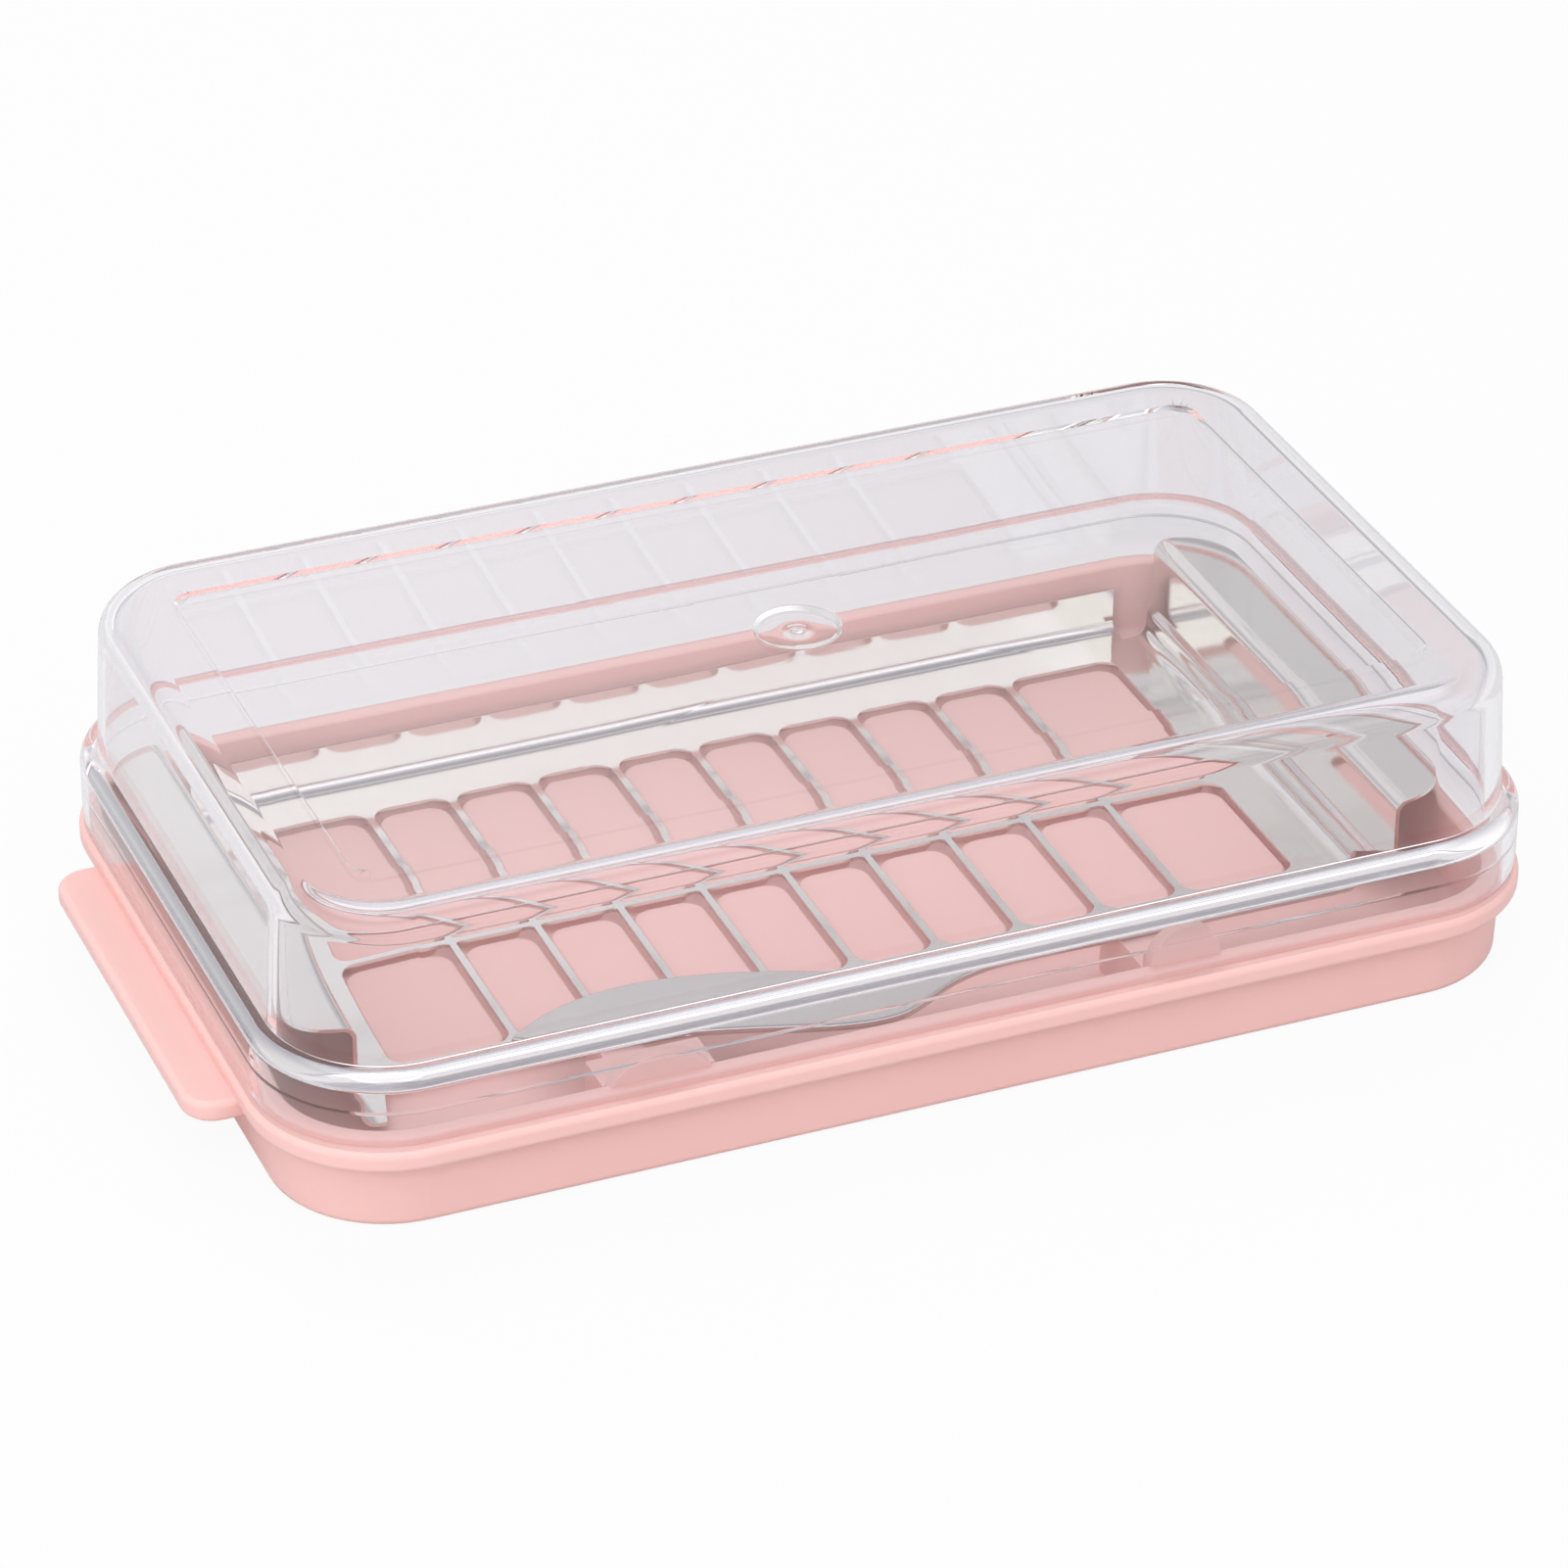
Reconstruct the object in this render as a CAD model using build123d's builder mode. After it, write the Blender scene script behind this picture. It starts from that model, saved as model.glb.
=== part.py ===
from build123d import *
import os

os.makedirs("parts", exist_ok=True)

# A butter keeper that slices. A pink tray carries a clear lid, and between them lie a
# stainless cutting grid, pressed down through the block by its two wings, and a butter knife.
# Millimetres, +Z up. X runs along the tray with the grip tab at -X, the knife trough is at
# -Y, and the origin is on the table under the middle of the tray.

# Cutting field: two rows of openings, a short one towards the trough and a long one behind.
pitch = 12.2
middle_columns = 8
end_column = 17.2
front_row = 26.1
back_row = 33.8
bar_width = 1.0
outer_cell_radius = 2.6
inner_cell_radius = 0.6

# Cutter sheet, with an upright and a wing at each end and a flange along the back.
sheet = 0.6
end_margin = 9.2
front_margin = 1.4
back_margin = 8.3
foot_bend = 2.0
top_bend = 1.5
bead_start = 8.0
bead_end = 9.2
bead_step = 0.8
bead_bend = 1.2
upright_front = 11.6
upright_back = 4.9
wing_width = 8.8
wing_height = 20.0
wing_corner = 8.4
relief_top = 12.0
relief_bottom = 6.5
tab_width = 3.6
tab_slant = 3.0
flange_height = 7.1
flange_bend = 1.5
flange_setback = 5.2

# Clearances between the pieces.
wing_clearance = 1.5
flange_clearance = 0.9
skirt_clearance = 0.4
pad_clearance = 0.35

# Tray.
floor = 2.0
rim_wall = 2.2
rim_corner = 16.1
rim_top = 14.1
rim_edge = 0.6
ledge_top = 13.0
ledge_thickness = 3.0
ledge_reach = 2.3
ledge_edge = 0.9
body_reach = 0.7
body_draft = 2.0
body_edge = 1.2
cavity_edge = 1.5
trough_width = 26.5
seat_top = 3.9
seat_gap = 0.5
seat_lip = 0.8
seat_setback = 2.0
pad_top = 3.5
pad_corner = 3.2
pad_edge = 0.5

# Grip tab at the left end.
tab_reach = 6.3
grip_length = 62.0
grip_top = 11.0
grip_thickness = 3.0
grip_corner = 4.5
grip_edge = 0.9

# Knife stops: two round-topped plates on the front wall, each with a block behind it and a
# low rest that carries the knife.
stop_thickness = 2.0
left_stop_x = -39.6
left_stop_radius = 8.7
left_stop_top = 17.7
left_block_depth = 6.3
right_stop_x = 34.9
right_stop_radius = 5.0
right_stop_top = 19.4
right_block_depth = 3.4
block_inset = 0.9
block_top = 14.0
rest_top = 9.8
rest_width = 6.0
rest_depth = 19.0

# Lid.
lid_wall = 2.0
lid_top = 46.0
shoulder_inset = 2.5
shoulder_top = 24.5
shoulder_wall = 3.1
shoulder_edge = 2.3
inner_edge = 0.4
dome_draft = 3.0
dome_edge = 4.5
panel_end_margin = 11.6
panel_side_margin = 12.5
panel_corner = 3.0
panel_depth = 0.5
gate_diameter = 11.7
gate_depth = 0.7
nub_diameter = 1.6

# Butter knife, cut from flat stock: a leaf blade with the tip at -X, and a straight handle.
knife_thickness = 1.2
knife_length = 120.8
knife_tip_x = -52.9
spine_setback = 25.7
spine_run = 18.0
tip_drop = 6.4
shoulder_run = 40.4
shoulder_drop = 5.0
cheek_run = 22.2
cheek_drop = 13.2
belly_run = 50.0
blade_depth = 19.9
neck_run = 70.0
neck_width = 3.8
handle_drop = 10.9
handle_width = 4.8

# Places that follow from the sizes above.
field_half = middle_columns * pitch / 2 + end_column
upright_x = field_half + end_margin
wing_tip = upright_x + wing_width
dome_half_length = wing_tip + wing_clearance + lid_wall
skirt_half_length = dome_half_length + shoulder_inset
rim_half_length = skirt_half_length - lid_wall - skirt_clearance
cavity_half_length = rim_half_length - rim_wall

cavity_half_width = (trough_width + front_margin + front_row + back_row + back_margin
                     + sheet + flange_clearance) / 2
rim_half_width = cavity_half_width + rim_wall
skirt_half_width = rim_half_width + skirt_clearance + lid_wall
dome_half_width = skirt_half_width - shoulder_inset

plate_front = trough_width - cavity_half_width
field_front = plate_front + front_margin
long_bar_y = field_front + front_row
field_back = long_bar_y + back_row
flange_y = cavity_half_width - flange_clearance
flange_half = upright_x - flange_setback
upright_near = field_front - upright_front
upright_far = field_back + upright_back
foot_x = upright_x - bead_step
spine_y = spine_setback - cavity_half_width

skirt_corner = rim_corner + skirt_clearance + lid_wall
dome_corner = skirt_corner - shoulder_inset
body_half_length = rim_half_length + body_reach
body_half_width = rim_half_width + body_reach
ledge_half_length = body_half_length + ledge_reach
ledge_half_width = body_half_width + ledge_reach


def cell_rectangles(inset):
    """Draws the openings of the grid in the current sketch, each drawn in by an inset."""
    bars = [(i - middle_columns / 2) * pitch for i in range(middle_columns + 1)]
    edges = [-field_half - bar_width / 2, *bars, field_half + bar_width / 2]
    rows = ((field_front - bar_width / 2, long_bar_y), (long_bar_y, field_back + bar_width / 2))
    for left, right in zip(edges, edges[1:]):
        for near, far in rows:
            with Locations(((left + right) / 2, (near + far) / 2)):
                Rectangle(right - left - bar_width - 2 * inset, far - near - bar_width - 2 * inset)


def faces_at(part, height):
    """Level faces of a part at one height."""
    return part.faces().filter_by(Axis.Z).filter_by_position(Axis.Z, height - 0.01, height + 0.01)


# Grip tab, joined to the tray below.
with BuildPart() as grip:
    with BuildSketch(Plane.XY.offset(grip_top - grip_thickness)) as grip_plan:
        with Locations((-ledge_half_length - tab_reach, 0)):
            Rectangle(tab_reach + rim_corner, grip_length, align=(Align.MIN, Align.CENTER))
        fillet(grip_plan.vertices().group_by(Axis.X)[0], grip_corner)
    extrude(amount=grip_thickness)
    fillet(faces_at(grip, grip_top).edges() + faces_at(grip, grip_top - grip_thickness).edges(),
           grip_edge)

# Tray: drafted body, ledge for the lid, and rim inside the skirt.
with BuildPart() as tray:
    with BuildSketch(Plane.XY.offset(ledge_top)):
        RectangleRounded(2 * body_half_length, 2 * body_half_width, rim_corner + body_reach)
    extrude(amount=-ledge_top, taper=body_draft)
    fillet(faces_at(tray, 0).edges(), body_edge)
    with BuildSketch(Plane.XY.offset(ledge_top - ledge_thickness)):
        RectangleRounded(2 * ledge_half_length, 2 * ledge_half_width,
                         rim_corner + body_reach + ledge_reach)
    extrude(amount=ledge_thickness)
    ledge_faces = faces_at(tray, ledge_top) + faces_at(tray, ledge_top - ledge_thickness)
    fillet([e for f in ledge_faces for e in f.outer_wire().edges()], ledge_edge)
    add(grip.part)
    with BuildSketch(Plane.XY.offset(ledge_top)):
        RectangleRounded(2 * rim_half_length, 2 * rim_half_width, rim_corner)
    extrude(amount=rim_top - ledge_top)

    # Well.
    with BuildSketch(Plane.XY.offset(floor)):
        RectangleRounded(2 * cavity_half_length, 2 * cavity_half_width, rim_corner - rim_wall)
    extrude(amount=rim_top - floor, mode=Mode.SUBTRACT)
    fillet(faces_at(tray, floor).edges(), cavity_edge)
    fillet(faces_at(tray, rim_top).edges(), rim_edge)

    # Seat under the border of the cutter, and a pad in each opening, lower than its bars.
    with BuildSketch(Plane.XY.offset(floor)):
        with Locations((0, plate_front - seat_lip)):
            Rectangle(2 * (upright_x - sheet - foot_bend),
                      field_back + back_margin - seat_setback - plate_front + seat_lip,
                      align=(Align.CENTER, Align.MIN))
        with Locations((0, (field_front + field_back) / 2)):
            Rectangle(2 * (field_half + seat_gap), field_back - field_front + 2 * seat_gap,
                      mode=Mode.SUBTRACT)
    extrude(amount=seat_top - floor)
    with BuildSketch(Plane.XY.offset(floor)) as pads:
        cell_rectangles(pad_clearance)
        fillet(pads.vertices(), pad_corner)
    extrude(amount=pad_top - floor)
    fillet(faces_at(tray, pad_top).edges(), pad_edge)

    # Knife stops, with their blocks and rests.
    for x, radius, top, depth in (
            (left_stop_x, left_stop_radius, left_stop_top, left_block_depth),
            (right_stop_x, right_stop_radius, right_stop_top, right_block_depth)):
        with BuildSketch(Plane.XZ.offset(cavity_half_width + rim_wall / 2)):
            with Locations((x, floor)):
                Rectangle(2 * radius, top - radius - floor, align=(Align.CENTER, Align.MIN))
            with Locations((x, top - radius)):
                Circle(radius)
        extrude(amount=-stop_thickness)
        with BuildSketch(Plane.XY.offset(floor)):
            with Locations((x, -cavity_half_width)):
                Rectangle(2 * (radius - block_inset), depth, align=(Align.CENTER, Align.MIN))
        extrude(amount=block_top - floor)
        with BuildSketch(Plane.XY.offset(floor)):
            with Locations((x, -cavity_half_width)):
                Rectangle(rest_width, rest_depth, align=(Align.CENTER, Align.MIN))
        extrude(amount=rest_top - floor)

# Cutter: one sheet folded up at both ends into uprights with wings, and along the back.
with BuildPart() as cutter:
    with BuildSketch(Plane.XZ.offset(-upright_near)):
        with BuildLine():
            right_half = [(foot_x, seat_top), (foot_x, bead_start), (upright_x, bead_end),
                          (upright_x, wing_height - sheet), (wing_tip, wing_height - sheet)]
            left_half = [(-x, z) for x, z in reversed(right_half)]
            bends = [top_bend, bead_bend, bead_bend, foot_bend + sheet]
            FilletPolyline(*left_half, *right_half, radius=bends + bends[::-1])
            offset(amount=sheet, side=Side.LEFT)
        make_face()
    extrude(amount=upright_near - upright_far)
    upright_edges = cutter.edges().filter_by(Axis.Z).group_by(Axis.X)
    fillet(upright_edges[0] + upright_edges[-1], wing_corner)

    # Flange along the back.
    with BuildSketch(Plane.YZ.offset(-flange_half)):
        with BuildLine():
            FilletPolyline((field_back, seat_top), (flange_y, seat_top),
                           (flange_y, seat_top + flange_height), radius=flange_bend + sheet)
            offset(amount=sheet, side=Side.LEFT)
        make_face()
    extrude(amount=2 * flange_half)

    # Front edge of the plate, leaving a tab at the left foot, and the right foot cut clear.
    with BuildSketch(Plane.XY.offset(seat_top)):
        with BuildLine():
            Polyline((-foot_x + tab_width + tab_slant, plate_front),
                     (-foot_x + tab_width, upright_near), (foot_x, upright_near),
                     (foot_x, plate_front), close=True)
        make_face()
    extrude(amount=sheet, mode=Mode.SUBTRACT)
    with BuildSketch(Plane.YZ.offset(field_half)):
        with BuildLine():
            Polyline((upright_near, 0), (upright_near, relief_top), (plate_front, relief_bottom),
                     (plate_front, 0), close=True)
        make_face()
    extrude(amount=end_margin + wing_width, mode=Mode.SUBTRACT)

    # Openings.
    with BuildSketch(Plane.XY.offset(seat_top)) as openings:
        cell_rectangles(0)
        fillet([v for v in openings.vertices() if abs(v.X) > field_half - 0.1
                or abs(v.Y - long_bar_y) > bar_width], outer_cell_radius)
        fillet([v for v in openings.vertices() if abs(v.Y - long_bar_y) < bar_width
                and abs(v.X) < field_half - 2 * outer_cell_radius], inner_cell_radius)
    extrude(amount=sheet, mode=Mode.SUBTRACT)

# Butter knife, flat on the rests.
with BuildPart() as knife:
    with BuildSketch(Plane.XY.offset(rest_top)):
        handle_y = spine_y - handle_drop
        tip = (knife_tip_x, spine_y - tip_drop)
        with BuildLine():
            spine = Spline(tip, (knife_tip_x + spine_run, spine_y),
                           (knife_tip_x + shoulder_run, spine_y - shoulder_drop),
                           (knife_tip_x + neck_run, handle_y + neck_width / 2),
                           tangents=((0.8, 0.6), (1, 0)))
            belly = Spline((knife_tip_x + neck_run, handle_y - neck_width / 2),
                           (knife_tip_x + belly_run, spine_y - blade_depth),
                           (knife_tip_x + cheek_run, spine_y - cheek_drop), tip,
                           tangents=((-1, 0), (-0.8, 0.6)))
            end_x = knife_tip_x + knife_length - handle_width / 2
            Polyline(spine @ 1, (end_x, handle_y + handle_width / 2))
            ThreePointArc((end_x, handle_y + handle_width / 2),
                          (knife_tip_x + knife_length, handle_y),
                          (end_x, handle_y - handle_width / 2))
            Polyline((end_x, handle_y - handle_width / 2), belly @ 0)
        make_face()
    extrude(amount=knife_thickness)

# Room inside the lid, cut from it below.
with BuildPart() as lid_room:
    with BuildSketch(Plane.XY.offset(ledge_top)):
        RectangleRounded(2 * (skirt_half_length - lid_wall), 2 * (skirt_half_width - lid_wall),
                         skirt_corner - lid_wall)
    extrude(amount=shoulder_top - shoulder_wall - ledge_top)
    fillet(faces_at(lid_room, shoulder_top - shoulder_wall).edges(), inner_edge)
    with BuildSketch(Plane.XY.offset(shoulder_top - shoulder_wall)):
        RectangleRounded(2 * (dome_half_length - lid_wall), 2 * (dome_half_width - lid_wall),
                         dome_corner - lid_wall)
    extrude(amount=lid_top - lid_wall - shoulder_top + shoulder_wall, taper=dome_draft)
    fillet(faces_at(lid_room, lid_top - lid_wall).edges(), dome_edge - lid_wall)

# Lid.
with BuildPart() as lid:
    with BuildSketch(Plane.XY.offset(ledge_top)):
        RectangleRounded(2 * skirt_half_length, 2 * skirt_half_width, skirt_corner)
    extrude(amount=shoulder_top - ledge_top)
    fillet(faces_at(lid, shoulder_top).edges(), shoulder_edge)
    with BuildSketch(Plane.XY.offset(shoulder_top)):
        RectangleRounded(2 * dome_half_length, 2 * dome_half_width, dome_corner)
    extrude(amount=lid_top - shoulder_top, taper=dome_draft)
    fillet(faces_at(lid, lid_top).edges(), dome_edge)
    add(lid_room.part, mode=Mode.SUBTRACT)

    # Sunk panel with a gate mark at its middle.
    with BuildSketch(Plane.XY.offset(lid_top - panel_depth)):
        RectangleRounded(2 * (dome_half_length - panel_end_margin),
                         2 * (dome_half_width - panel_side_margin), panel_corner)
    extrude(amount=panel_depth, mode=Mode.SUBTRACT)
    with BuildSketch(Plane.XY.offset(lid_top - panel_depth - gate_depth)):
        Circle(gate_diameter / 2)
        Circle(nub_diameter / 2, mode=Mode.SUBTRACT)
    extrude(amount=gate_depth, mode=Mode.SUBTRACT)

tray.part.label = "tray"
cutter.part.label = "cutter"
knife.part.label = "butter_knife"
lid.part.label = "lid"
for piece in (tray, cutter, knife, lid):
    export_step(piece.part, "parts/" + piece.part.label + ".step")
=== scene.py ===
import math

import bmesh
import bpy
from bpy.props import FloatProperty, FloatVectorProperty, IntProperty, PointerProperty
from mathutils import Matrix, Vector


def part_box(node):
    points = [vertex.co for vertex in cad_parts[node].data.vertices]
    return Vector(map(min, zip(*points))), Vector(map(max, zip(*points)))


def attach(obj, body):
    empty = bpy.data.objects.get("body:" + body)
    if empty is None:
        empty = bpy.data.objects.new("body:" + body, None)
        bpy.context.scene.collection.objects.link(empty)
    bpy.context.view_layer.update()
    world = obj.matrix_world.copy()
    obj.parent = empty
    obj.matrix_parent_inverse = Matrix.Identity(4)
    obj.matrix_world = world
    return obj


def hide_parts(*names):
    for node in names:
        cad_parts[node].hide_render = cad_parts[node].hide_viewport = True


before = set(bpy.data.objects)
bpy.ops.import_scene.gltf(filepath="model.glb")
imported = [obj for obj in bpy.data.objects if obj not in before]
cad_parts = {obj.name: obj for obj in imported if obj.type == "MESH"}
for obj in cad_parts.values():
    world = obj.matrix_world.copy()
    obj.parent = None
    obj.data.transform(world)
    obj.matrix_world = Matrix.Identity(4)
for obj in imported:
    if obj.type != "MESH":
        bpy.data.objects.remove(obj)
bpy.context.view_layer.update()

bl_info = {
    "name": "Butter slicer",
    "version": (1, 0, 0),
    "blender": (4, 5, 0),
    "location": "View3D > Sidebar > Butter slicer",
    "description": "Dresses the packed butter slicer: tray, cutter, butter knife, clear lid and stage",
    "category": "Add Mesh",
}

MM = 0.001

# The lid, in millimetres. Its outside comes from its solid in model.glb.
LID_LOW, LID_HIGH = ([round(c / MM, 2) for c in corner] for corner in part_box("lid"))
LEDGE_TOP, LID_TOP = LID_LOW[2], LID_HIGH[2]
LID_WALL, LID_DRAFT, LID_EDGE = 2.0, 3.0, 4.5
SHOULDER_TOP, SHOULDER_WALL, SHOULDER_INSET, SHOULDER_EDGE = 24.5, 3.1, 2.5, 2.3

# Outlines seen from above, as a half length, a half width and a corner radius: the walls where
# they stand on the shoulder, and the middle of the step round the sunk panel.
DOME = (LID_HIGH[0] - SHOULDER_INSET, LID_HIGH[1] - SHOULDER_INSET, 16.0)
PANEL = (75.9, 38.4, 3.0)

# Small roundings: where the walls meet the shoulder, outside and inside, the foot, the mouth,
# and the corner under the shoulder.
SEAM_EDGE, ROOM_SEAM_EDGE, FOOT_EDGE, MOUTH_EDGE, CORNER_EDGE = 0.15, 0.25, 0.12, 0.3, 0.4

# The step inside the skirt: its height, how far it goes out, half its slope's height, and the
# share of the way out at the slope's middle.
STEP_HEIGHT, STEP_OUT, STEP_RISE, STEP_MIDDLE = 18.1, 0.25, 0.25, 0.6

# The sunk panel's step. Its profile is in shares of the slope's width and of the depth.
TOP_BORDER, PANEL_DEPTH, PANEL_SLOPE = 8.0, 0.5, 0.4
PANEL_PROFILE = ((0.5, 0.0), (0.44, 0.02), (0.37, 0.10), (-0.37, 0.90), (-0.44, 0.98), (-0.5, 1.0))

# The gate mark, turned round the middle of the panel: radius, and depth under the panel. It
# runs from the rim to the small nub in its middle.
GATE_MARK = ((6.2, 0.0), (5.95, 0.06), (5.75, 0.3), (5.45, 0.6), (4.85, 0.7),
             (2.2, 0.7), (1.6, 0.58), (0.9, 0.6), (0.7, 0.35), (0.4, 0.28))
GATE_FACETS = 64

# The share of light that a crossing of the lid lets through to the inside, by height. The
# thick shoulder turns most aside, and the skirt below it least. The flat of the top lets all
# of it through: it starts 6 mm inside the walls' foot, and the change takes 1.2 mm.
LIGHT_SHARES = ((21.0, 0.95), (21.4, 0.6), (24.6, 0.6), (25.0, 0.74))
LIGHT_SPAN = 50.0
FLAT_INSET, FLAT_FADE = 6.0, 1.2

# Up to this height the lid's foot stands so close on the ledge that only the ledge is seen.
FOOT_TOP = 13.7

# The room, as steel and glass mirror it: its tone by the upward part of a direction. The
# horizon is white, over it come a low grey strip, a white wall and a grey ceiling.
ROOM_TONES = ((0.0, "FFFFFF"), (0.05, "FFFFFF"), (0.12, "C6C5CA"), (0.3, "C6C5CA"),
              (0.42, "F8F7F6"), (0.62, "F4F3F2"), (0.80, "B4B3BA"), (1.0, "B4B3BA"))

# Lamps: name, place and size in metres, and power in watts.
LAMPS = (("soft_front", (-0.28, -0.5, 0.8), (1.3, 1.0), 8.8),
         ("soft_back", (0.1, 0.6, 0.75), (0.9, 0.7), 4.3),
         ("soft_left", (-0.85, -0.35, 0.25), (0.7, 0.4), 1.9),
         ("soft_right", (0.85, -0.5, 0.3), (0.7, 0.5), 2.0))
LAMP_TARGET = (0, 0, 0.02)

# The floor: half its side and how far it lies under the tray, in metres, and the share of plain
# white that the camera and the lid see in it.
FLOOR_HALF, FLOOR_DROP, FLOOR_WHITE = 3.0, 0.0002, 0.93

# The camera's place from the origin, in metres: back along its view, to its right, and up. Its
# sensor's width is in millimetres.
CAMERA_BACK, CAMERA_RIGHT, CAMERA_UP = 0.88551, -0.00164, 0.01783
SENSOR = 36.0


# Colour and node helpers.

def linear(hex_code):
    """Linear RGBA of an sRGB colour written as six hex digits."""
    channels = [int(hex_code[i:i + 2], 16) / 255 for i in (0, 2, 4)]
    return tuple(c / 12.92 if c <= 0.04045 else ((c + 0.055) / 1.055) ** 2.4
                 for c in channels) + (1.0,)


def add_node(tree, kind, settings=None, links=None, **attributes):
    """Adds one node, sets its attributes and sockets, and links its inputs."""
    made = tree.nodes.new(kind)
    for name, value in attributes.items():
        setattr(made, name, value)
    for socket, value in (settings or {}).items():
        made.inputs[socket].default_value = value
    for socket, source in (links or {}).items():
        tree.links.new(source, made.inputs[socket])
    return made


def new_material(name):
    """An empty node material and its tree."""
    material = bpy.data.materials.new(name)
    material.use_nodes = True
    material.node_tree.nodes.clear()
    return material, material.node_tree


def give(obj, material):
    """Puts one material on every face of an object."""
    obj.data.materials.clear()
    obj.data.materials.append(material)


def finish_surface(tree, shader):
    """Links a shader to the material's output."""
    add_node(tree, "ShaderNodeOutputMaterial", links={"Surface": shader})


def set_stops(ramp, stops):
    """Gives a colour ramp its stops, each a position and a linear colour."""
    (start, start_colour), *middle, (end, end_colour) = stops
    ramp.elements[0].position, ramp.elements[0].color = start, start_colour
    ramp.elements[1].position, ramp.elements[1].color = end, end_colour
    for position, colour in middle:
        ramp.elements.new(position).color = colour


# Materials.

def moulded_pink_plastic(tone, deeper):
    """ABS, injection moulded in a finely textured tool: an even light pink, satin gloss, and a
    little light that sinks in at the edges."""
    material, tree = new_material("moulded_pink_abs")
    where = add_node(tree, "ShaderNodeTexCoord").outputs["Object"]
    # The colour drifts over about 55 mm. The tool's grain is drawn 0.7 mm wide, to show.
    clouds = add_node(tree, "ShaderNodeTexNoise", {"Scale": 18.0, "Detail": 2.0},
                      {"Vector": where})
    tint = add_node(tree, "ShaderNodeMix",
                    {6: tone, 7: deeper}, {0: clouds.outputs["Fac"]}, data_type="RGBA")
    grain = add_node(tree, "ShaderNodeTexNoise", {"Scale": 1400.0, "Detail": 3.0},
                     {"Vector": where})
    skin = add_node(tree, "ShaderNodeBump", {"Strength": 0.05, "Distance": 0.00004},
                    {"Height": grain.outputs["Fac"]})
    plastic = add_node(tree, "ShaderNodeBsdfPrincipled",
                       {"Roughness": 0.34, "IOR": 1.49, "Specular IOR Level": 0.3,
                        "Subsurface Weight": 0.15,
                        "Subsurface Radius": (0.003, 0.0015, 0.0012), "Subsurface Scale": 1.0},
                       {"Base Color": tint.outputs[2], "Normal": skin.outputs["Normal"]})
    finish_surface(tree, plastic.outputs["BSDF"])
    return material


def polished_steel(name, tone, roughness):
    """Stainless sheet, rolled, pressed and polished: bright, a little uneven where the press
    left it, with faint polishing lines."""
    material, tree = new_material(name)
    where = add_node(tree, "ShaderNodeTexCoord").outputs["Object"]
    # Slow waves of the pressed sheet, about 25 mm long, and lines of polish along X. The real
    # lines are finer, and are drawn 0.5 mm apart to show.
    dents = add_node(tree, "ShaderNodeTexNoise", {"Scale": 40.0, "Detail": 1.0},
                     {"Vector": where})
    along = add_node(tree, "ShaderNodeMapping", {"Scale": (60, 2000, 2000)}, {"Vector": where})
    lines = add_node(tree, "ShaderNodeTexNoise", {"Scale": 1.0, "Detail": 3.0},
                     {"Vector": along.outputs["Vector"]})
    spread = add_node(tree, "ShaderNodeMapRange",
                      {"To Min": roughness * 0.8, "To Max": roughness * 1.3},
                      {"Value": lines.outputs["Fac"]})
    waved = add_node(tree, "ShaderNodeBump", {"Strength": 0.35, "Distance": 0.00035},
                     {"Height": dents.outputs["Fac"]})
    scratched = add_node(tree, "ShaderNodeBump", {"Strength": 0.04, "Distance": 0.00001},
                         {"Height": lines.outputs["Fac"], "Normal": waved.outputs["Normal"]})
    steel = add_node(tree, "ShaderNodeBsdfPrincipled",
                     {"Base Color": tone, "Metallic": 1.0},
                     {"Roughness": spread.outputs["Result"],
                      "Normal": scratched.outputs["Normal"]})
    finish_surface(tree, steel.outputs["BSDF"])
    return material


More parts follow.
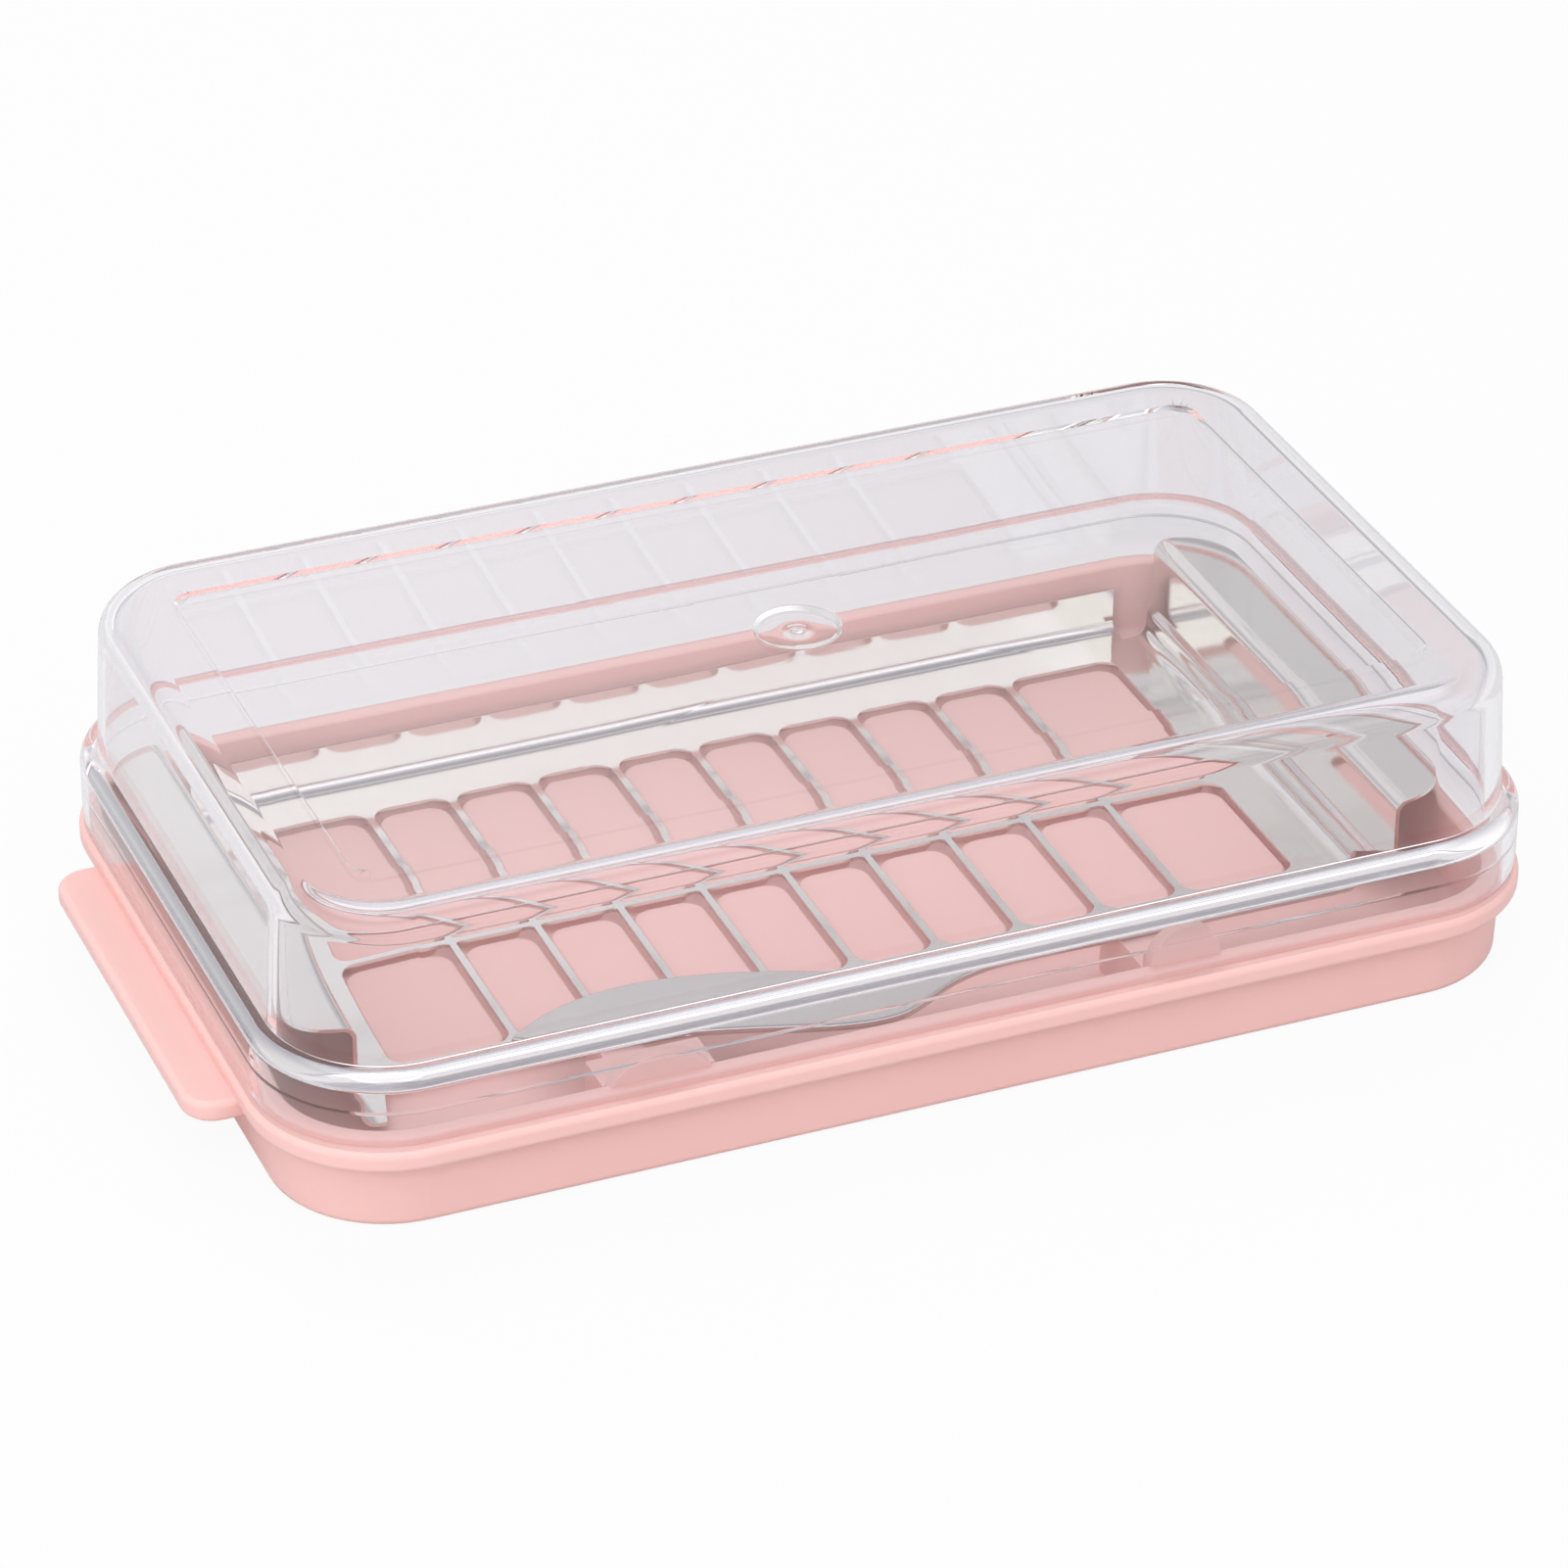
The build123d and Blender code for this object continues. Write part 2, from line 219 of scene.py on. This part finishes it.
def clear_polystyrene(tone):
    """Crystal polystyrene, injection moulded in a polished tool: clear and hard, with a glossy
    skin and a cool grey cast that deepens with each wall. Light on its way to the inside, and
    light that is caught in a wall, passes straight through."""
    material, tree = new_material("clear_polystyrene")
    where = add_node(tree, "ShaderNodeTexCoord").outputs["Object"]
    # Flow lines of the moulding, about 30 mm apart.
    flow = add_node(tree, "ShaderNodeTexNoise", {"Scale": 33.0, "Detail": 1.0},
                    {"Vector": where})
    waves = add_node(tree, "ShaderNodeBump", {"Strength": 0.2, "Distance": 0.0002},
                     {"Height": flow.outputs["Fac"]})
    clear = add_node(tree, "ShaderNodeBsdfPrincipled",
                     {"Base Color": tone, "Roughness": 0.0, "IOR": 1.57,
                      "Transmission Weight": 1.0},
                     {"Normal": waves.outputs["Normal"]})
    part = add_node(tree, "ShaderNodeSeparateXYZ", links={0: where}).outputs

    # What a crossing lets through to the inside, by height.
    height = add_node(tree, "ShaderNodeMapRange", {"From Max": LIGHT_SPAN * MM},
                      {"Value": part["Z"]})
    zones = add_node(tree, "ShaderNodeValToRGB", links={"Fac": height.outputs["Result"]})
    set_stops(zones.color_ramp, [(place / LIGHT_SPAN, (share, share, share, 1.0))
                                 for place, share in LIGHT_SHARES])
    passed = zones.outputs["Color"]

    # The flat of the top, inside its rounded edges along X and along Y.
    flat = []
    for axis, half in (("X", DOME[0]), ("Y", DOME[1])):
        off = add_node(tree, "ShaderNodeMath", links={0: part[axis]}, operation="ABSOLUTE")
        edge = half - FLAT_INSET
        inside = add_node(tree, "ShaderNodeMapRange",
                          {"From Min": edge * MM, "From Max": (edge + FLAT_FADE) * MM,
                           "To Min": 1.0, "To Max": 0.0}, {"Value": off.outputs[0]})
        flat.append(inside.outputs[0])
    flat = add_node(tree, "ShaderNodeMath", links={0: flat[0], 1: flat[1]},
                    operation="MULTIPLY")

    # Light that has been mirrored three times is caught in a wall.
    path = add_node(tree, "ShaderNodeLightPath").outputs
    trapped = add_node(tree, "ShaderNodeMath", {1: 2.5}, {0: path["Glossy Depth"]},
                       operation="GREATER_THAN")
    foot = add_node(tree, "ShaderNodeMath", {1: FOOT_TOP * MM}, {0: part["Z"]},
                    operation="LESS_THAN")

    for full in (flat, trapped):
        passed = add_node(tree, "ShaderNodeMath", links={0: passed, 1: full.outputs[0]},
                          operation="MAXIMUM").outputs[0]
    through = add_node(tree, "ShaderNodeBsdfTransparent", links={"Color": passed})
    straight = trapped.outputs[0]
    for other in (path["Is Shadow Ray"], path["Is Diffuse Ray"], foot.outputs[0]):
        straight = add_node(tree, "ShaderNodeMath", links={0: straight, 1: other},
                            operation="MAXIMUM").outputs[0]
    both = add_node(tree, "ShaderNodeMixShader",
                    links={0: straight, 1: clear.outputs["BSDF"], 2: through.outputs["BSDF"]})
    finish_surface(tree, both.outputs["Shader"])
    return material


def paper_floor():
    """Studio background paper, matt: a pale grey that takes the object's shadow. The camera and
    the lid see it mostly as plain white."""
    material, tree = new_material("studio_paper")
    paper = add_node(tree, "ShaderNodeBsdfDiffuse", {"Color": linear("D6D5D6")})
    glow = add_node(tree, "ShaderNodeEmission", {"Color": linear("FFFFFF"), "Strength": 1.0})
    path = add_node(tree, "ShaderNodeLightPath")
    seen = add_node(tree, "ShaderNodeMath",
                    links={0: path.outputs["Is Camera Ray"],
                           1: path.outputs["Is Transmission Ray"]}, operation="MAXIMUM")
    share = add_node(tree, "ShaderNodeMath", {1: FLOOR_WHITE}, {0: seen.outputs[0]},
                     operation="MULTIPLY")
    both = add_node(tree, "ShaderNodeMixShader",
                    links={0: share.outputs[0], 1: paper.outputs["BSDF"],
                           2: glow.outputs["Emission"]})
    finish_surface(tree, both.outputs["Shader"])
    return material


# Mesh helpers.

def keep_shell(shell, name, material, smooth_angle):
    """Turns a bmesh into an object of one material, smooth but where it turns by more than an
    angle in degrees."""
    mesh = bpy.data.meshes.new(name)
    shell.to_mesh(mesh)
    shell.free()
    obj = bpy.data.objects.new(name, mesh)
    bpy.context.scene.collection.objects.link(obj)
    give(obj, material)
    mesh.shade_smooth()
    mesh.set_sharp_from_angle(angle=math.radians(smooth_angle))
    return obj


def even_shading(obj, keep_sharp):
    """Lets the large faces of an object lead the shading of the small ones next to them."""
    even = obj.modifiers.new("even_normals", "WEIGHTED_NORMAL")
    even.keep_sharp = keep_sharp


def softened_copy(node, name, material, edge):
    """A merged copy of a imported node, with its sharp edges rounded by a width in metres."""
    shell = bmesh.new()
    shell.from_mesh(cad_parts[node].data)
    bmesh.ops.remove_doubles(shell, verts=shell.verts, dist=1e-7)
    bmesh.ops.dissolve_limit(shell, angle_limit=math.radians(0.5), verts=shell.verts,
                             edges=shell.edges)
    obj = keep_shell(shell, name, material, 40)
    rounded = obj.modifiers.new("soft_edges", "BEVEL")
    rounded.width, rounded.segments = edge, 3
    rounded.limit_method, rounded.angle_limit = "ANGLE", math.radians(60)
    rounded.use_clamp_overlap = True
    even_shading(obj, keep_sharp=False)
    return obj


def sweep_tree():
    """Geometry Nodes that sweep a wall's section round a rectangle with rounded corners."""
    tree = bpy.data.node_groups.new("sweep_round_rectangle", "GeometryNodeTree")
    tree.is_modifier = True
    for name, kind, default in (("Section", "NodeSocketGeometry", None),
                                ("Length", "NodeSocketFloat", 0.1),
                                ("Width", "NodeSocketFloat", 0.1),
                                ("Corner radius", "NodeSocketFloat", 0.01),
                                ("Corner steps", "NodeSocketInt", 16),
                                ("Material", "NodeSocketMaterial", None)):
        socket = tree.interface.new_socket(name=name, in_out="INPUT", socket_type=kind)
        if default is not None:
            socket.default_value = default
    tree.interface.new_socket(name="Swept", in_out="OUTPUT", socket_type="NodeSocketGeometry")
    given = add_node(tree, "NodeGroupInput").outputs
    path = add_node(tree, "GeometryNodeCurvePrimitiveQuadrilateral",
                    links={"Width": given["Length"], "Height": given["Width"]})
    path = add_node(tree, "GeometryNodeFilletCurve",
                    links={"Curve": path.outputs["Curve"], "Count": given["Corner steps"],
                           "Radius": given["Corner radius"]}, mode="POLY")
    path = add_node(tree, "GeometryNodeSetCurveNormal",
                    links={"Curve": path.outputs["Curve"]}, mode="Z_UP")
    section = add_node(tree, "GeometryNodeMeshToCurve", links={"Mesh": given["Section"]})
    swept = add_node(tree, "GeometryNodeCurveToMesh",
                     links={"Curve": path.outputs["Curve"],
                            "Profile Curve": section.outputs["Curve"]})
    swept = add_node(tree, "GeometryNodeRealizeInstances",
                     links={"Geometry": swept.outputs["Mesh"]})
    swept = add_node(tree, "GeometryNodeSetMaterial",
                     links={"Geometry": swept.outputs["Geometry"],
                            "Material": given["Material"]})
    add_node(tree, "NodeGroupOutput", links={"Swept": swept.outputs["Geometry"]})
    return tree


def sweep(tree, section, half_length, half_width, corner, steps, material):
    """A plain mesh of a section swept round an outline. The section's points are (outwards,
    height) in millimetres."""
    mesh = bpy.data.meshes.new("section")
    mesh.from_pydata([(out * MM, -height * MM, 0) for out, height in section],
                     [(i, i + 1) for i in range(len(section) - 1)], [])
    carrier = bpy.data.objects.new("section", mesh)
    bpy.context.scene.collection.objects.link(carrier)
    modifier = carrier.modifiers.new("sweep", "NODES")
    modifier.node_group = tree
    values = {"Length": 2 * half_length * MM, "Width": 2 * half_width * MM,
              "Corner radius": corner * MM, "Corner steps": steps, "Material": material}
    for socket in tree.interface.items_tree:
        if socket.item_type == "SOCKET" and socket.name in values:
            modifier[socket.identifier] = values[socket.name]
    graph = bpy.context.evaluated_depsgraph_get()
    swept = bpy.data.meshes.new_from_object(carrier.evaluated_get(graph))
    bpy.data.objects.remove(carrier)
    return swept


def arc(centre, radius, start, end, steps):
    """Points of an arc in a section, with its angles in degrees from outwards to up."""
    turns = [math.radians(start + (end - start) * k / steps) for k in range(steps + 1)]
    return [(centre[0] + radius * math.cos(t), centre[1] + radius * math.sin(t)) for t in turns]


def fill_level(shell, height):
    """Fills the flat between the open rims at one height, in millimetres."""
    rims = [e for e in shell.edges
            if e.is_boundary and all(abs(v.co.z - height * MM) < 1e-6 for v in e.verts)]
    bmesh.ops.triangle_fill(shell, edges=rims, use_beauty=True)


# The lid's forms.

def wall_section():
    """The section of the lid's walls, from the top border down the outside, round the foot, and
    up the inside. Its first figure is the distance outwards from DOME."""
    lean = math.tan(math.radians(LID_DRAFT))
    slant = math.sqrt(1 + lean * lean)
    leaning = 180 + LID_DRAFT
    under_shoulder = SHOULDER_TOP - SHOULDER_WALL
    bend_height = LID_TOP - LID_EDGE
    bend_out = -LID_EDGE * slant - lean * (bend_height - SHOULDER_TOP)
    room_edge = LID_EDGE - LID_WALL
    room_out = -LID_WALL - lean * (bend_height - under_shoulder) - room_edge * slant
    inner = SHOULDER_INSET - LID_WALL
    mouth = inner + STEP_OUT

    section = [(-TOP_BORDER, LID_TOP)]
    section += arc((bend_out, bend_height), LID_EDGE, 90, LID_DRAFT, 12)
    section += arc((SEAM_EDGE, SHOULDER_TOP + SEAM_EDGE), SEAM_EDGE, leaning, 270, 2)
    section += arc((SHOULDER_INSET - SHOULDER_EDGE, SHOULDER_TOP - SHOULDER_EDGE),
                   SHOULDER_EDGE, 90, 0, 8)
    section += arc((SHOULDER_INSET - FOOT_EDGE, LEDGE_TOP + FOOT_EDGE), FOOT_EDGE, 0, -90, 2)
    section += arc((mouth + MOUTH_EDGE, LEDGE_TOP + MOUTH_EDGE), MOUTH_EDGE, -90, -180, 3)
    section += [(mouth, STEP_HEIGHT - STEP_RISE),
                (inner + STEP_MIDDLE * STEP_OUT, STEP_HEIGHT),
                (inner, STEP_HEIGHT + STEP_RISE)]
    section += arc((inner - CORNER_EDGE, under_shoulder - CORNER_EDGE), CORNER_EDGE, 0, 90, 3)
    section += arc((ROOM_SEAM_EDGE - LID_WALL, under_shoulder + ROOM_SEAM_EDGE),
                   ROOM_SEAM_EDGE, 270, leaning, 3)
    section += arc((room_out, bend_height), room_edge, LID_DRAFT, 90, 10)
    section += [(-TOP_BORDER, LID_TOP - LID_WALL)]
    return section


def add_gate_mark(shell):
    """Turns the gate mark's profile round the middle of the panel, and closes its nub."""
    turns = [2 * math.pi * k / GATE_FACETS for k in range(GATE_FACETS)]
    loops = [[shell.verts.new((radius * MM * math.cos(turn), radius * MM * math.sin(turn),
                               (LID_TOP - PANEL_DEPTH - depth) * MM)) for turn in turns]
             for radius, depth in GATE_MARK]
    for near, far in zip(loops, loops[1:]):
        for k in range(GATE_FACETS):
            after = (k + 1) % GATE_FACETS
            shell.faces.new((near[k], near[after], far[after], far[k]))
    shell.faces.new(loops[-1])


# Pieces.

class SlicerSettings(bpy.types.PropertyGroup):
    """Sizes, colours and finishes that a user may change."""
    tray_colour: FloatVectorProperty(
        name="Tray colour", description="Tone of the tray's plastic",
        default=linear("F3C8C3"), size=4, min=0.0, max=1.0, subtype="COLOR")
    tray_shade: FloatVectorProperty(
        name="Tray shade", description="Deeper tone that the tray's plastic drifts to",
        default=linear("F0C1BC"), size=4, min=0.0, max=1.0, subtype="COLOR")
    cutter_colour: FloatVectorProperty(
        name="Cutter colour", description="Tone of the cutter's steel",
        default=linear("E6E4E1"), size=4, min=0.0, max=1.0, subtype="COLOR")
    knife_colour: FloatVectorProperty(
        name="Knife colour", description="Tone of the knife's steel",
        default=linear("DAD8D6"), size=4, min=0.0, max=1.0, subtype="COLOR")
    lid_colour: FloatVectorProperty(
        name="Lid colour", description="Cast of the lid's clear plastic",
        default=linear("F2F1F4"), size=4, min=0.0, max=1.0, subtype="COLOR")
    lid_corner_steps: IntProperty(
        name="Lid corner steps", description="Facets in each rounded corner of the lid",
        default=24, min=4, max=64)
    steel_roughness: FloatProperty(
        name="Steel roughness", description="How far the polished steel blurs a reflection",
        default=0.09, min=0.02, max=0.6, subtype="FACTOR")
    sheet_edge: FloatProperty(
        name="Sheet edge", description="Rounding of the cutter's edges",
        default=0.00027, min=0.00005, max=0.00029, precision=5, unit="LENGTH")
    knife_edge: FloatProperty(
        name="Knife edge", description="Rounding of the knife's edges",
        default=0.0004, min=0.00005, max=0.00055, precision=5, unit="LENGTH")
    knife_roughness: FloatProperty(
        name="Knife roughness", description="How far the knife blurs a reflection",
        default=0.14, min=0.02, max=0.6, subtype="FACTOR")
    lens: FloatProperty(
        name="Lens", description="Focal length of the camera, in millimetres on a 36 mm sensor",
        default=147.35, min=20.0, max=400.0)
    turn: FloatProperty(
        name="Turn", description="Camera's turn from the front, positive to the right",
        default=math.radians(-22.5708), subtype="ANGLE", unit="ROTATION")
    rise: FloatProperty(
        name="Rise", description="Camera's height over the horizon",
        default=math.radians(31.0673), subtype="ANGLE", unit="ROTATION")
    roll: FloatProperty(
        name="Roll", description="Camera's lean",
        default=math.radians(0.3836), subtype="ANGLE", unit="ROTATION")


class SlicerTray(bpy.types.Operator):
    """Finishes the pink tray"""
    bl_idname = "slicer.tray"
    bl_label = "Tray"

    def execute(self, context):
        setting = context.scene.slicer
        give(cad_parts["tray"],
             moulded_pink_plastic(setting.tray_colour, setting.tray_shade))
        return {"FINISHED"}


class SlicerCutter(bpy.types.Operator):
    """Makes the folded steel cutter, with the soft edges of a pressed and polished sheet"""
    bl_idname = "slicer.cutter"
    bl_label = "Cutter"

    def execute(self, context):
        setting = context.scene.slicer
        steel = polished_steel("polished_stainless", setting.cutter_colour,
                               setting.steel_roughness)
        cutter = softened_copy("cutter", "steel_cutter", steel, setting.sheet_edge)
        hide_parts("cutter")
        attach(cutter, "cutter")
        return {"FINISHED"}


class SlicerKnife(bpy.types.Operator):
    """Makes the butter knife, with soft edges"""
    bl_idname = "slicer.knife"
    bl_label = "Butter knife"

    def execute(self, context):
        setting = context.scene.slicer
        steel = polished_steel("polished_knife_steel", setting.knife_colour,
                               setting.knife_roughness)
        knife = softened_copy("butter_knife", "steel_knife", steel, setting.knife_edge)
        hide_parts("butter_knife")
        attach(knife, "knife")
        return {"FINISHED"}


class SlicerLid(bpy.types.Operator):
    """Makes the clear lid: walls and a sunk panel's step swept round, and a gate mark"""
    bl_idname = "slicer.lid"
    bl_label = "Lid"

    def execute(self, context):
        setting = context.scene.slicer
        steps = setting.lid_corner_steps
        clear = clear_polystyrene(setting.lid_colour)
        tree = sweep_tree()
        panel_step = [(PANEL_SLOPE * out, LID_TOP - PANEL_DEPTH * down)
                      for out, down in PANEL_PROFILE]
        shell = bmesh.new()
        for mesh in (sweep(tree, wall_section(), *DOME, steps, clear),
                     sweep(tree, panel_step, *PANEL, steps, clear)):
            shell.from_mesh(mesh)
            bpy.data.meshes.remove(mesh)
        add_gate_mark(shell)
        bmesh.ops.remove_doubles(shell, verts=shell.verts, dist=1e-7)
        for level in (LID_TOP, LID_TOP - PANEL_DEPTH, LID_TOP - LID_WALL):
            fill_level(shell, level)
        bmesh.ops.recalc_face_normals(shell, faces=shell.faces)
        still_open = sum(1 for e in shell.edges if not e.is_manifold)
        if still_open:
            raise RuntimeError("the lid has %d open edges" % still_open)
        lid = keep_shell(shell, "clear_lid", clear, 28)
        even_shading(lid, keep_sharp=True)
        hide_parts("lid")
        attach(lid, "lid")
        return {"FINISHED"}


class SlicerStage(bpy.types.Operator):
    """Sets the floor, the room, the lamps and the camera"""
    bl_idname = "slicer.stage"
    bl_label = "Stage"

    def execute(self, context):
        shell = bmesh.new()
        shell.faces.new([shell.verts.new((FLOOR_HALF * x, FLOOR_HALF * y, -FLOOR_DROP))
                         for x, y in ((-1, -1), (1, -1), (1, 1), (-1, 1))])
        floor = keep_shell(shell, "floor", paper_floor(), 30)
        context.scene.world = pale_room()
        hang_lamps(context.scene)
        place_camera(context.scene)
        return {"FINISHED"}


# The stage's room, lamps and camera.

def pale_room():
    """A pale room, a little brighter behind the object than in front. The camera sees it as
    plain white. Steel and glass see its tones, a bright front and a light overhead."""
    world = bpy.data.worlds.new("pale_room")
    world.use_nodes = True
    tree = world.node_tree
    tree.nodes.clear()
    path = add_node(tree, "ShaderNodeLightPath").outputs
    facing = add_node(tree, "ShaderNodeTexCoord").outputs["Generated"]
    part = add_node(tree, "ShaderNodeSeparateXYZ", links={0: facing}).outputs
    tones = add_node(tree, "ShaderNodeValToRGB", links={"Fac": part["Z"]})
    set_stops(tones.color_ramp, [(place, linear(tone)) for place, tone in ROOM_TONES])

    # The wall behind the object is dimmer from about 20 degrees to the right of its middle.
    turn = add_node(tree, "ShaderNodeMath", links={0: part["X"], 1: part["Y"]},
                    operation="ARCTAN2")
    side = add_node(tree, "ShaderNodeMapRange",
                    {"From Min": 0.32, "From Max": 0.46, "To Min": 1.2, "To Max": 0.85},
                    {"Value": turn.outputs[0]})

    # The front is brighter for steel under the lid, to make up for what the walls take.
    front = add_node(tree, "ShaderNodeMapRange",
                     {"From Min": -0.15, "From Max": -0.5, "To Min": 0.0, "To Max": 1.0},
                     {"Value": part["Y"]})
    covered = add_node(tree, "ShaderNodeMapRange",
                       {"From Min": 0.0, "From Max": 1.0, "To Min": 1.15, "To Max": 2.0},
                       {"Value": path["Transmission Depth"]})
    level = add_node(tree, "ShaderNodeMapRange",
                     links={"Value": front.outputs[0], "To Min": side.outputs[0],
                            "To Max": covered.outputs[0]})

    # A soft light overhead, mirrored only by outer surfaces, draws the white line on the lid's
    # upper edges.
    overhead = add_node(tree, "ShaderNodeMapRange",
                        {"From Min": 0.80, "From Max": 0.90, "To Min": 0.0, "To Max": 6.0},
                        {"Value": part["Z"]})
    for depth, most in (("Glossy Depth", 1.5), ("Transmission Depth", 0.5)):
        few = add_node(tree, "ShaderNodeMath", {1: most}, {0: path[depth]},
                       operation="LESS_THAN")
        overhead = add_node(tree, "ShaderNodeMath",
                            links={0: overhead.outputs[0], 1: few.outputs[0]},
                            operation="MULTIPLY")
    level = add_node(tree, "ShaderNodeMath",
                     links={0: level.outputs[0], 1: overhead.outputs[0]}, operation="ADD")
    mirror_view = add_node(tree, "ShaderNodeBackground",
                           links={"Color": tones.outputs["Color"],
                                  "Strength": level.outputs[0]})

    # What lights matt surfaces, and what the camera sees.
    soft = add_node(tree, "ShaderNodeMapRange",
                    {"From Min": -0.3, "From Max": 0.3, "To Min": 0.3, "To Max": 0.42},
                    {"Value": part["Y"]})
    matt_view = add_node(tree, "ShaderNodeBackground", {"Color": linear("F6F5F8")},
                         {"Strength": soft.outputs["Result"]})
    white = add_node(tree, "ShaderNodeBackground", {"Color": linear("FFFFFF"), "Strength": 1.0})
    mirrored = add_node(tree, "ShaderNodeMath",
                        links={0: path["Is Glossy Ray"], 1: path["Is Transmission Ray"]},
                        operation="MAXIMUM")
    both = add_node(tree, "ShaderNodeMixShader",
                    links={0: mirrored.outputs[0], 1: matt_view.outputs["Background"],
                           2: mirror_view.outputs["Background"]})
    both = add_node(tree, "ShaderNodeMixShader",
                    links={0: path["Is Camera Ray"], 1: both.outputs["Shader"],
                           2: white.outputs["Background"]})
    add_node(tree, "ShaderNodeOutputWorld", links={"Surface": both.outputs["Shader"]})
    return world


def hang_lamps(scene):
    """Hangs four soft lamps round the object. They light matt surfaces, and steel and glass
    don't mirror them."""
    for name, place, size, power in LAMPS:
        lamp = bpy.data.lights.new(name, "AREA")
        lamp.shape, lamp.energy = "RECTANGLE", power
        lamp.size, lamp.size_y = size
        holder = bpy.data.objects.new(name, lamp)
        holder.location = place
        aim = Vector(LAMP_TARGET) - Vector(place)
        holder.rotation_euler = aim.to_track_quat("-Z", "Y").to_euler()
        holder.visible_glossy = holder.visible_transmission = False
        scene.collection.objects.link(holder)


def place_camera(scene):
    """Stands the camera where the photograph was taken from."""
    setting = scene.slicer
    turn, rise, roll = setting.turn, setting.rise, setting.roll
    back = Vector((math.sin(turn) * math.cos(rise), -math.cos(turn) * math.cos(rise),
                   math.sin(rise)))
    right = (-back).cross(Vector((0, 0, 1))).normalized()
    up = right.cross(-back)
    leaned_right = math.cos(roll) * right + math.sin(roll) * up
    leaned_up = -math.sin(roll) * right + math.cos(roll) * up
    place = back * CAMERA_BACK + right * CAMERA_RIGHT + up * CAMERA_UP
    camera = bpy.data.cameras.new("camera")
    camera.lens, camera.sensor_width = setting.lens, SENSOR
    holder = bpy.data.objects.new("camera", camera)
    holder.matrix_world = Matrix((
        (leaned_right.x, leaned_up.x, back.x, place.x),
        (leaned_right.y, leaned_up.y, back.y, place.y),
        (leaned_right.z, leaned_up.z, back.z, place.z),
        (0, 0, 0, 1)))
    scene.collection.objects.link(holder)
    scene.camera = holder
    scene.view_settings.view_transform = "Standard"


class SlicerPanel(bpy.types.Panel):
    """Lists the slicer's pieces in the sidebar"""
    bl_idname = "VIEW3D_PT_slicer"
    bl_label = "Butter slicer"
    bl_space_type = "VIEW_3D"
    bl_region_type = "UI"
    bl_category = "Butter slicer"

    def draw(self, context):
        for name in SlicerSettings.__annotations__:
            self.layout.prop(context.scene.slicer, name)
        for maker in MAKERS:
            self.layout.operator(maker.bl_idname)


MAKERS = (SlicerTray, SlicerCutter, SlicerKnife, SlicerLid, SlicerStage)


def register():
    for kind in (SlicerSettings, *MAKERS, SlicerPanel):
        bpy.utils.register_class(kind)
    bpy.types.Scene.slicer = PointerProperty(type=SlicerSettings)


def unregister():
    del bpy.types.Scene.slicer
    for kind in reversed((SlicerSettings, *MAKERS, SlicerPanel)):
        bpy.utils.unregister_class(kind)


def main():
    register()
    for maker in MAKERS:
        group, name = maker.bl_idname.split(".")
        getattr(getattr(bpy.ops, group), name)()


if __name__ == "__main__":
    main()
